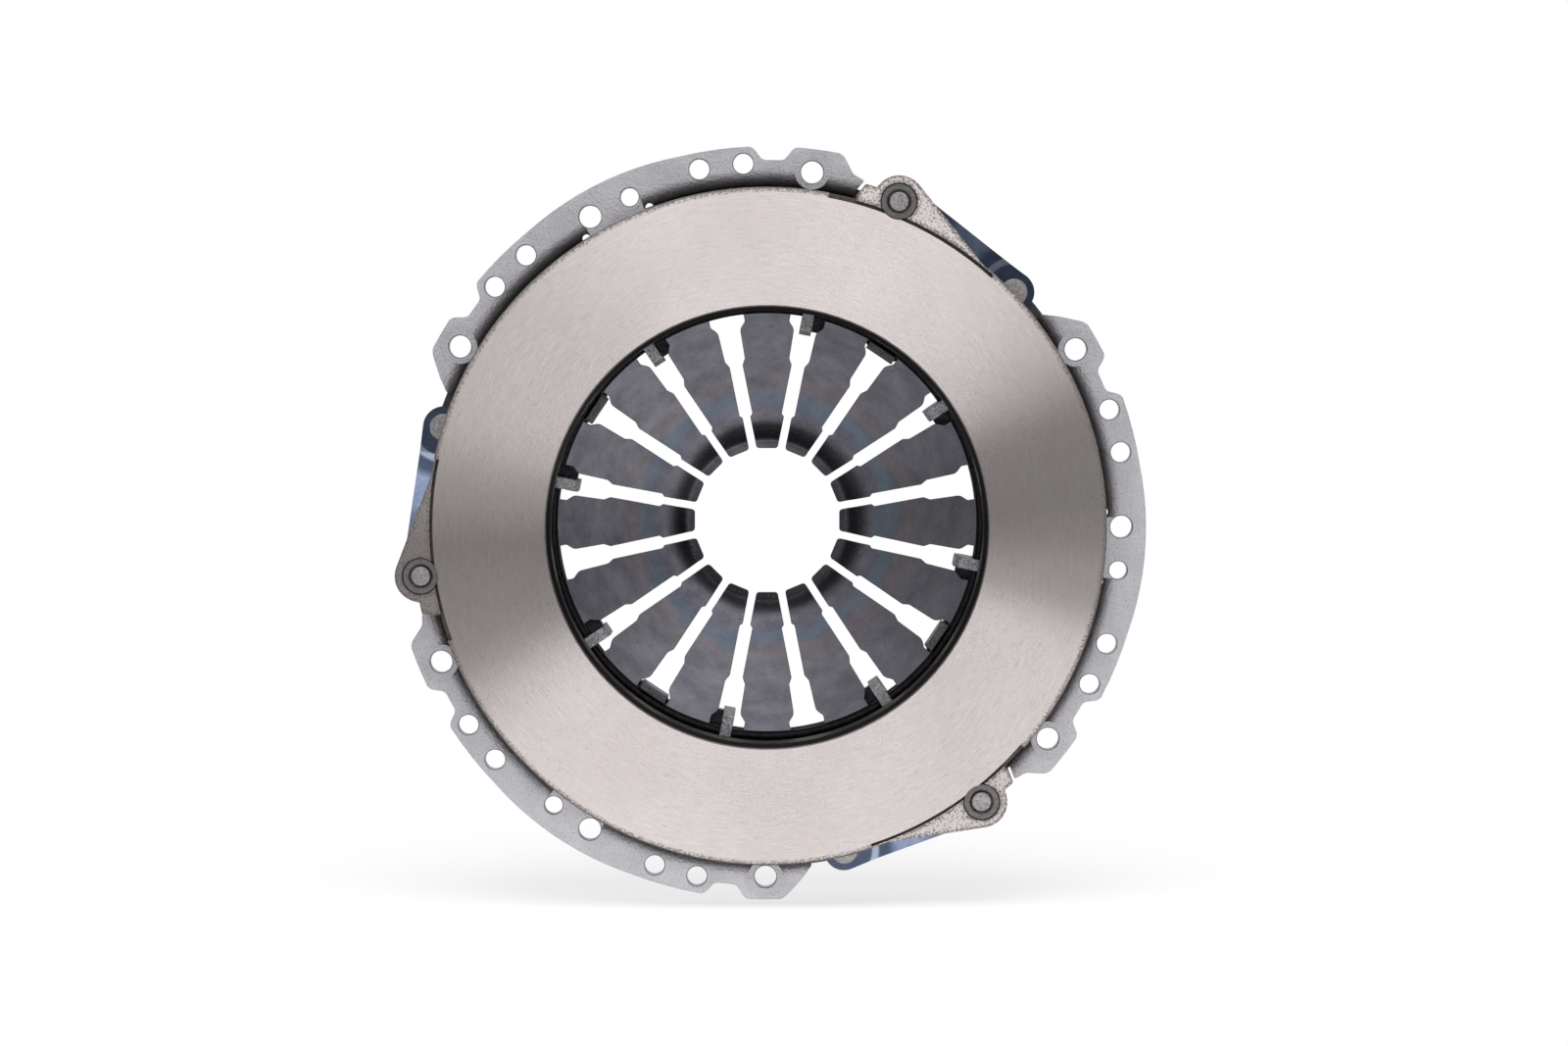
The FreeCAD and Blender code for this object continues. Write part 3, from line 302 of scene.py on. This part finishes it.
def paint_iron(start):
    """Cast iron, ground in fine circles on its face and flat on its ears, with its skin on elsewhere."""
    at = Place(start)
    soft, edge = at.round_edges(start, 0.0003)
    front = at.normal.part(1).between(-0.9, -0.99)
    face = at.depth.between(FACE_DEPTH + 0.0002, FACE_DEPTH + 0.00002) * front
    ear_top = at.depth.between(EAR_DEPTH + 0.0004, EAR_DEPTH + 0.0001) * front
    ear_top = ear_top * at.radius.between(EAR_INSIDE, EAR_INSIDE + 0.0004)
    chamfer = at.facing_out.between(-0.3, -0.5) * at.normal.part(1).between(-0.3, -0.5)
    ground = face.math("MAXIMUM", ear_top).math("MAXIMUM", chamfer)
    # the grain of the grinding runs round the axis: long round it, fine across it
    grain = noise(combine(start, at.radius, at.turn * 0.0025, 0.0), 5200.0, 3.0, 0.7)
    broad = noise(combine(start, at.radius, at.turn * 0.012, 0.0), 260.0, 2.0)
    cloud = noise(at.point, 26.0, 2.0)
    mottle = noise(at.point, 420.0, 4.0, 0.7)
    colour = cloud.between(0.3, 0.7).blend(rgb(226, 217, 215), rgb(233, 225, 223))
    colour = (grain.between(0.3, 0.7) * 0.5).blend(colour, rgb(200, 192, 190))
    colour = (mottle.between(0.55, 0.75) * 0.35).blend(colour, rgb(194, 185, 183))
    pores = noise(at.point, 1900.0, 3.0, 0.6)
    colour = (pores.between(0.71, 0.76) * 0.5).blend(colour, rgb(120, 112, 110))
    # the ears keep some of the casting's skin, more of it near their edges
    near_edge = at.lean(start.node("ShaderNodeBevel", {"Radius": 0.003}, {"samples": 8})).between(0.0, 0.05)
    rough = noise(at.point, 1300.0, 5.0, 0.7)
    skin_left = (rough + 0.3 * edge + 0.11 * near_edge).between(0.50, 0.63) * ear_top
    colour = (skin_left * 0.8).blend(colour, rgb(104, 97, 93))
    normal = turned_grain(start, at, 0.54, broad)
    # the casting's skin
    pits = noise(at.point, 900.0, 6.0, 0.65)
    lumps = noise(at.point, 160.0, 3.0)
    speck = noise(at.point, 1500.0, 2.0)
    skin = pits.between(0.3, 0.7).blend(rgb(120, 114, 108), rgb(176, 170, 164))
    skin = (speck.between(0.60, 0.72) * 0.7).blend(skin, rgb(70, 65, 62))
    # painted shade: the grooves beside the ears are darkened, and the bore's inside is painted nearly black
    groove_shade = at.depth.between(EAR_DEPTH + 0.0004, EAR_DEPTH + 0.0012)
    groove_shade = groove_shade * at.radius.between(EAR_INSIDE - 0.0012, EAR_INSIDE - 0.0007)
    groove_shade = groove_shade * at.radius.between(GROOVE_OUTSIDE + 0.001, GROOVE_OUTSIDE)
    bore_shade = at.radius.between(PLATE_BORE + 0.0013, PLATE_BORE + 0.0003) * (1.0 - chamfer)
    skin = (groove_shade * 0.7).blend(skin, rgb(84, 76, 71))
    skin = (bore_shade * 0.85).blend(skin, rgb(30, 28, 27))
    skin = (edge * 0.5 * (1.0 - bore_shade)).blend(skin, rgb(182, 176, 172))
    shell = bump(start, pits * 0.6 + lumps, 0.0006, 0.55, soft)
    cast = metal(start, skin, 0.55, shell, 0.85)
    # painted shade: the bore's chamfer is darkened a little at the face and nearly black further in
    sunk_shade = chamfer * at.depth.between(FACE_DEPTH + 0.0002, FACE_DEPTH + 0.0007)
    colour = (chamfer * 0.2 + sunk_shade * 0.75).blend(colour, rgb(22, 21, 21))
    worked = metal(start, colour, 0.07 + 0.04 * grain + 0.25 * skin_left + 0.25 * chamfer, normal)
    return start.node("ShaderNodeMixShader", {0: ground, 1: cast, 2: worked})


def paint_cover(start):
    """Phosphated pressed sheet: blue-grey, faintly streaked and scuffed, with rings round its screw holes."""
    at = Place(start)
    soft, edge = at.round_edges(start, 0.0005)
    cloud = noise(at.point, 60.0, 4.0, 0.6)
    grainy = noise(at.point, 1400.0, 3.0, 0.6)
    streak = noise(combine(start, at.x * 5.0, at.depth, at.z * 5.0 + at.x * 1.5), 150.0, 4.0, 0.75)
    scuff = noise(combine(start, at.radius * 3.0, at.depth, at.turn * 0.12), 240.0, 5.0, 0.75)
    colour = cloud.between(0.3, 0.7).blend(rgb(212, 210, 216), rgb(231, 229, 235))
    colour = (streak.between(0.58, 0.72) * 0.45).blend(colour, rgb(226, 226, 231))
    colour = (scuff.between(0.60, 0.72) * 0.5).blend(colour, rgb(150, 149, 156))
    colour = (grainy.between(0.54, 0.68) * 0.5).blend(colour, rgb(136, 134, 141))
    colour = (grainy.between(0.42, 0.30) * 0.6).blend(colour, rgb(240, 239, 244))
    flat = at.depth.between(0.0006, 0.0002)
    bolt = at.from_holes((BOLT_ANGLE, -BOLT_ANGLE), BOLT_CIRCLE)
    rings = (bolt * 9000.0).math("SINE") * bolt.between(0.0082, 0.0074) * flat
    colour = (rings.math("MAXIMUM", 0.0) * 0.3).blend(colour, rgb(120, 119, 126))
    # how far a point is from the nearest hole's rim, and the dark line that lies there
    screw = bolt.math("MINIMUM", at.from_hole(MIDDLE_HOLE_ANGLE, BOLT_CIRCLE)) - BOLT_HOLE
    spare = at.from_holes(SPARE_ANGLES, SPARE_CIRCLE) - SPARE_HOLE
    dowel = at.from_hole(-MIDDLE_HOLE_ANGLE, BOLT_CIRCLE) - DOWEL_HOLE
    rim = screw.math("MINIMUM", spare).math("MINIMUM", dowel).between(0.00045, 0.00015) * flat
    colour = (rim * 0.7).blend(colour, rgb(62, 60, 64))
    worn = edge * (1.0 - rim) * grainy.between(0.35, 0.6)
    colour = (worn * 0.7).blend(colour, rgb(232, 232, 236))
    # the cover's inner skin, darker than the flange and the hooks, and the hooks' necks are darkened: partly
    # their darker phosphate and partly painted shade where the sheet turns inward
    inner = at.facing_out.between(0.35, 0.1) * at.normal.part(1).between(0.6, 0.2)
    bowl_tone_and_shade = at.depth.between(0.0004, 0.0050) * at.radius.between(HOOK_FOOT_RADIUS, HOOK_FOOT_RADIUS + 0.0025)
    hooks = at.radius.between(HOOK_FOOT_RADIUS, HOOK_FOOT_RADIUS - 0.001)
    neck_tone_and_shade = at.depth.between(0.0104, 0.0125) * hooks * at.normal.part(1).between(0.6, 0.2)
    colour = ((bowl_tone_and_shade * inner).math("MAXIMUM", neck_tone_and_shade) * 0.88).blend(colour, rgb(44, 43, 47))
    colour = (hooks * (0.2 + 0.35 * grainy.between(0.45, 0.6))).blend(colour, rgb(84, 82, 85))
    normal = bump(start, grainy * 1.5 + cloud * 2.0 + streak * 1.5, 0.0003, 0.6, soft)
    return metal(start, colour, 0.36 + 0.2 * cloud, normal, 0.92)


def paint_spring(start):
    """Spring steel, with painted shade at its right, in its curl and on its side walls, blue and straw where
    the fingers were hardened.
    """
    at = Place(start)
    soft, edge = at.round_edges(start, 0.00035)
    cloud = noise(at.point, 90.0, 3.0, 0.6)
    fine = noise(at.point, 1800.0, 3.0, 0.6)
    patch = noise(at.point, 330.0, 4.0, 0.7)
    drift = noise(at.point, 55.0, 2.0)
    wide = noise(combine(start, at.radius * 1.3, at.turn * 0.04, at.depth), 130.0, 4.0, 0.65)
    colour = wide.between(0.2, 0.8).blend(rgb(100, 99, 107), rgb(134, 132, 140))
    # painted shade: the spring's right side is darkened
    right_side_shade = ((at.x - at.z * 0.1) / at.radius).between(-0.5, 0.9)
    colour = (right_side_shade * 0.42).blend(colour, rgb(74, 73, 79))
    colour = (cloud.between(0.5, 0.8) * 0.3).blend(colour, rgb(96, 90, 98))
    wander = at.radius + (cloud - 0.5) * 0.007 + (drift - 0.5) * 0.012
    straw = wander.between(0.047, 0.050) * wander.between(0.056, 0.052)
    colour = (straw * 0.28).blend(colour, rgb(126, 112, 114))
    blue = wander.between(0.0405, 0.0440) * wander.between(0.0490, 0.0455)
    colour = (blue * 0.55).blend(colour, rgb(92, 112, 128))
    violet = wander.between(0.0375, 0.0400) * wander.between(0.0440, 0.0415)
    colour = (violet * 0.25).blend(colour, rgb(90, 84, 108))
    # painted shade: the curl is darkened, sooner at the upper fingers, and its tips get less of it at the
    # upper and the left fingers
    upward = (at.x * 0.5 + at.z * 0.87) / at.radius
    curl_shade = (at.radius - 0.0018 * upward).between(0.0393, 0.0334)
    tips = at.radius.between(0.0312, 0.0296)
    leftward = ((at.z * 0.5 - at.x * 0.87) / at.radius).between(0.2, 1.0)
    colour = (curl_shade * (0.80 - tips * (0.06 + 0.24 * upward + 0.24 * leftward))).blend(colour, rgb(38, 38, 41))
    colour = (patch.between(0.62, 0.70) * 0.28).blend(colour, rgb(66, 62, 68))
    colour = (patch.between(0.36, 0.26) * 0.15).blend(colour, rgb(158, 157, 164))
    colour = (fine.between(0.62, 0.72) * 0.55).blend(colour, rgb(66, 64, 68))
    colour = (fine.between(0.38, 0.28) * 0.4).blend(colour, rgb(170, 168, 175))
    # painted shade: the side walls of the slots and fingers are painted nearly black, and the edges are
    # darkened with them
    wall_shade = (at.normal.part(1) ** 2.0).between(0.55, 0.25)
    colour = (edge * 0.8).math("MAXIMUM", wall_shade * 0.95).blend(colour, rgb(24, 23, 26))
    normal = bump(start, fine + patch * 0.6, 0.00009, 0.14, soft)
    return metal(start, colour, 0.27 + 0.1 * cloud, normal, 0.95)


def paint_plain(dark, light, roughness, edge_tone, grain):
    """A rule for a small steel piece between two shades, with its own tone along its edges."""
    def paint(start):
        at = Place(start)
        soft, edge = at.round_edges(start, 0.0003)
        cloud = noise(at.point, grain, 4.0, 0.7)
        fine = noise(at.point, 3000.0, 2.0)
        colour = cloud.between(0.3, 0.7).blend(dark, light)
        colour = (edge * 0.6).blend(colour, edge_tone)
        normal = bump(start, fine + cloud, 0.00008, 0.35, soft)
        return metal(start, colour, roughness + 0.12 * cloud, normal, 0.95)

    return paint


def paint_strap(start):
    """Blued spring strip: smooth, with painted shade where it lies flat, dips and ends, a painted highlight at
    its fold, and more painted shade on the upper right side.
    """
    at = Place(start)
    edge = at.round_edges(start, 0.0002)[1]
    cloud = noise(at.point, 150.0, 4.0, 0.7)
    line = noise(combine(start, at.x * 0.2, at.depth, at.z), 900.0, 2.0)
    colour = cloud.between(0.3, 0.7).blend(rgb(118, 134, 164), rgb(142, 156, 184))
    colour = (line.between(0.55, 0.7) * 0.3).blend(colour, rgb(170, 180, 200))
    # painted bands by the distance from the rivet in the cover's lug: shade where it lies flat, a highlight
    # where it folds up, and shade where it dips and at the far end
    along = at.from_hole(COVER_RIVET_ANGLE, COVER_RIVET_CIRCLE)
    dip_shade = along.between(0.0122, 0.0134) * along.between(0.0200, 0.0160)
    tail_shade = along.between(0.0275, 0.0370)
    flat = along.between(0.0108, 0.0098)
    fold_highlight = along.between(0.0098, 0.0108) * along.between(0.0134, 0.0122)
    colour = (fold_highlight * 0.4).blend(colour, rgb(190, 196, 210))
    colour = (dip_shade.math("MAXIMUM", tail_shade * 0.7).math("MAXIMUM", flat) * 0.8).blend(colour, rgb(50, 60, 78))
    # painted shade over the straps' upper right side
    shaded = (at.x * 0.57 + at.z * 0.82).between(0.086, 0.108)
    colour = (shaded * 0.45).blend(colour, rgb(34, 44, 62))
    colour = (edge * 0.5).blend(colour, rgb(60, 70, 90))
    normal = bump(start, cloud, 0.00008, 0.06, at.normal)
    return metal(start, colour, 0.16 + 0.1 * cloud, normal, 0.95)


FINISHES = {
    "plate_iron": paint_iron,
    "cover_steel": paint_cover,
    "spring_steel": paint_spring,
    # the fulcrum rings' steel is painted nearly black, as painted shade inside the bore
    "ring_steel": paint_plain(rgb(30, 29, 31), rgb(50, 48, 51), 0.4, rgb(90, 88, 92), 400.0),
    "strap_steel": paint_strap,
    "rivet_steel": paint_plain(rgb(140, 136, 138), rgb(196, 191, 192), 0.32, rgb(98, 94, 96), 900.0),
    "collar_steel": paint_plain(rgb(112, 108, 109), rgb(142, 138, 138), 0.4, rgb(50, 48, 49), 900.0),
}


def dress_nodes():
    """Gives each CAD node the finish of its material slot, and returns the finishes by slot."""
    made = {slot: make_finish(slot, paint) for slot, paint in FINISHES.items()}
    for entry in frame["record"]["subparts"]:
        node = nodes[entry["node"]]
        node.data.materials.clear()
        node.data.materials.append(made[entry["material_slot"]])
    return made


def copy_of(name, node, slot, planes=(), finer_within=0.0):
    """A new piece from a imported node: its mesh with the doubles merged, cut across at planes.

    Its edges inside a radius from the axis are halved until they are short, so that it can be curved there.
    """
    mesh = nodes[node].data.copy()
    mesh.name = name
    cells = bmesh.new()
    cells.from_mesh(mesh)
    bmesh.ops.remove_doubles(cells, verts=cells.verts, dist=MERGE_DISTANCE)
    for place, normal in planes:
        parts = cells.verts[:] + cells.edges[:] + cells.faces[:]
        bmesh.ops.bisect_plane(cells, geom=parts, plane_co=place, plane_no=normal)
    for _ in range(FINER_ROUNDS):
        inside = [edge for edge in cells.edges if is_inside(edge, finer_within)]
        long = [edge for edge in inside if edge.calc_length() > FINEST_EDGE]
        if long:
            bmesh.ops.subdivide_edges(cells, edges=long, cuts=1)
    bmesh.ops.triangulate(cells, faces=[face for face in cells.faces if len(face.verts) > 4])
    cells.to_mesh(mesh)
    cells.free()
    if "custom_normal" in mesh.attributes:
        mesh.attributes.remove(mesh.attributes["custom_normal"])
    mesh.shade_smooth()
    mesh.set_sharp_from_angle(angle=SHARP_ANGLE)
    piece = bpy.data.objects.new(name, mesh)
    bpy.context.scene.collection.objects.link(piece)
    mesh.materials.clear()
    mesh.materials.append(finishes[slot])
    return piece


def is_inside(edge, radius):
    """Whether both ends of an edge lie inside a radius from the clutch axis."""
    return all(math.hypot(end.co.x, end.co.z) < radius for end in edge.verts)


def make_diaphragm():
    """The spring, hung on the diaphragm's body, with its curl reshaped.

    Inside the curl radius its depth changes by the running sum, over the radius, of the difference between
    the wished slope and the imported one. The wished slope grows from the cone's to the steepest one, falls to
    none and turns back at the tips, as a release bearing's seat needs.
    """
    piece = copy_of("diaphragm", "diaphragm_spring", "spring_steel", finer_within=CURL_RADIUS + FINEST_EDGE)
    flat = np.empty(len(piece.data.vertices) * 3)
    piece.data.vertices.foreach_get("co", flat)
    place = flat.reshape(-1, 3)
    radius = np.hypot(place[:, 0], place[:, 2])
    steps = np.linspace(CURL_RADIUS, CURL_STOPS[-1, 0], CURL_STEPS)
    slope = np.interp(-steps, -CURL_STOPS[:, 0], CURL_STOPS[:, 1])
    packed = np.interp(-steps, -PACKED_CURL[:, 0], PACKED_CURL[:, 1])
    change = np.tan(np.radians(slope)) - np.tan(np.radians(packed))
    change = np.concatenate([[0.0], np.cumsum((change[1:] + change[:-1]) / 2 * -np.diff(steps))])
    place[:, 1] += np.interp(-radius, -steps, change, left=0.0)
    piece.data.vertices.foreach_set("co", place.ravel())
    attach(piece, "diaphragm")
    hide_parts("diaphragm_spring")
    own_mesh(piece)


def make_straps():
    """The strap leaves, copied and cut across into short strips between cover and plate."""
    for station in range(SECTORS):
        turn = -2 * math.pi * station / SECTORS
        near = strap_end(COVER_RIVET, turn)
        far = strap_end(PLATE_RIVET, turn)
        along = (far - near).normalized()
        start = near + along * STRAP_FLAT
        end = far - along * STRAP_FLAT
        strips = [(start.lerp(end, share), along) for share in np.linspace(0.0, 1.0, STRAP_CUTS)]
        for leaf in (1, 2, 3):
            node = f"strap_{station + 1}_leaf_{leaf}"
            piece = copy_of(f"bending_{node}", node, "strap_steel", strips)
            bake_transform(piece)
            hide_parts(node)


def strap_end(rivet, turn):
    """A rivet's place in the plane of the clutch, turned about the axis to its station."""
    x, z = rivet
    cos, sin = math.cos(turn), math.sin(turn)
    return Vector((x * cos - z * sin, 0.0, x * sin + z * cos))


def seen_rays(start):
    """Two values: 1 for the camera's rays, and 1 for mirror rays and rays through clear things."""
    path = start.node("ShaderNodeLightPath")
    links = path.socket.node.outputs
    camera = Value(start.tree, links["Is Camera Ray"])
    glossy = Value(start.tree, links["Is Glossy Ray"])
    clear = Value(start.tree, links["Is Transmission Ray"])
    return camera, glossy.math("MAXIMUM", clear)


# the floor's place under the object, and how far it goes to each side, to the front and to the back
FLOOR_CLEARANCE = 0.0006
FLOOR_REACH = (0.9, 0.9, 1.2)


def make_stage():
    """A pale floor that fades to the backdrop's white away from the object, and keeps its shadow near it."""
    def paint(start):
        place = start.node("ShaderNodeTexCoord", output=3)
        far = place.vector("LENGTH", output=1)
        camera, glossy = seen_rays(start)
        lit = start.node("ShaderNodeBsdfDiffuse", {"Color": (0.9, 0.9, 0.9, 1.0)})
        seen = 0.72 + 0.28 * far.between(0.16, 0.42)
        # mirror rays see the side screens' feet as dark, and the floor as paler the flatter they meet it
        across = place.part(0)
        screened = across.between(-0.13, -0.26).math("MAXIMUM", across.between(0.26, 0.44))
        grazing = start.node("ShaderNodeLayerWeight", {"Blend": 0.5}, output=1)
        mirrored = (0.36 + 0.86 * grazing.between(0.26, 0.66)) * (1.0 - 0.70 * screened)
        level = 1.0 - glossy * (1.0 - mirrored)
        white = start.node("ShaderNodeEmission", {"Color": level, "Strength": 1.0})
        share = camera * seen + glossy
        return start.node("ShaderNodeMixShader", {0: share, 1: lit, 2: white})

    low = cad_box[0][2] - FLOOR_CLEARANCE
    side, front, back = FLOOR_REACH
    mesh = bpy.data.meshes.new("floor")
    corners = [(-side, -front, low), (side, -front, low), (side, back, low), (-side, back, low)]
    mesh.from_pydata(corners, [], [(0, 1, 2, 3)])
    mesh.materials.append(make_finish("pale_floor", paint))
    floor = bpy.data.objects.new("floor", mesh)
    bpy.context.scene.collection.objects.link(floor)


# how bright the mirrored room is against the share of a half turn round the clutch axis, alike above and
# below: dark screens at both ends, and pale between them
ROOM = (
    (0.0, 0.17), (0.080, 0.16), (0.122, 0.52), (0.17, 0.70), (0.24, 0.96), (0.31, 1.06), (0.40, 1.06),
    (0.55, 1.0), (0.60, 0.79), (0.65, 0.59), (0.76, 0.54), (0.865, 0.43), (0.915, 0.18), (1.0, 0.17),
)


# degrees that the screens are turned round the axis, and by how much more at the left and less at the right
SCREEN_TURN = 13.0
SCREEN_SPREAD = 14.0


def make_world():
    """White for the camera, and for mirror rays a pale room with dark screens at the sides."""
    world = bpy.data.worlds.new("studio")
    world.use_nodes = True
    tree = world.node_tree
    tree.nodes.clear()
    start = Value(tree)
    direction = start.node("ShaderNodeTexCoord", output=0)
    x, y, z = direction.part(0), direction.part(1), direction.part(2)
    aside = (x * x + z * z) ** 0.5
    round_axis = z.math("ARCTAN2", x) / math.pi - (SCREEN_TURN - SCREEN_SPREAD * x / aside) / 180
    share = round_axis.math("FLOORED_MODULO", 1.0)
    stops = [(place, (level, level, level, 1.0)) for place, level in ROOM]
    room = start.node("ShaderNodeValToRGB", {0: share}, {"stops": stops})
    # dim straight ahead, where the camera stands, and dim again square to the axis
    square_on = 0.2 + 0.8 * aside.between(0.94, 0.74)
    level = 1.1 * room * aside.between(0.02, 0.15) * square_on + 0.18 * aside.between(0.15, 0.02)
    behind = y.between(-0.1, 0.3) * (0.45 + 0.6 * z.between(-0.5, 0.7))
    level = level.math("MAXIMUM", behind)
    camera, glossy = seen_rays(start)
    strength = camera + glossy * level + (1.0 - camera) * (1.0 - glossy) * 0.55
    light = start.node("ShaderNodeBackground", {"Color": strength, "Strength": 1.0})
    start.node("ShaderNodeOutputWorld", {"Surface": light})
    bpy.context.scene.world = world


def make_softbox():
    """A rectangular soft lamp over the front, aimed at the origin.

    It lights the floor and makes the shadow, and mirror rays don't see it.
    """
    lamp = bpy.data.lights.new("top_softbox", "AREA")
    lamp.shape = "RECTANGLE"
    lamp.size, lamp.size_y = (1.3, 0.8)
    lamp.energy = 18.0
    item = bpy.data.objects.new("top_softbox", lamp)
    item.location = (0.0, -0.45, 1.2)
    item.rotation_euler = (-item.location).to_track_quat("-Z", "Y").to_euler()
    item.visible_glossy = False
    bpy.context.scene.collection.objects.link(item)


def make_camera():
    """Aimed at the origin from the friction side and a little above, framed as the photograph is."""
    distance = 1.191
    rise = math.radians(3.6)
    camera = bpy.data.cameras.new("camera")
    camera.lens = 75.0
    camera.shift_x = 0.01079
    camera.shift_y = 0.00153
    item = bpy.data.objects.new("camera", camera)
    item.location = (0.0, -distance * math.cos(rise), distance * math.sin(rise))
    item.rotation_euler = (math.radians(90) - rise, 0.0, 0.0)
    bpy.context.scene.collection.objects.link(item)
    bpy.context.scene.camera = item


finishes = dress_nodes()
make_diaphragm()
make_straps()
make_stage()
make_world()
make_softbox()
make_camera()

bpy.context.scene.view_settings.view_transform = "Standard"
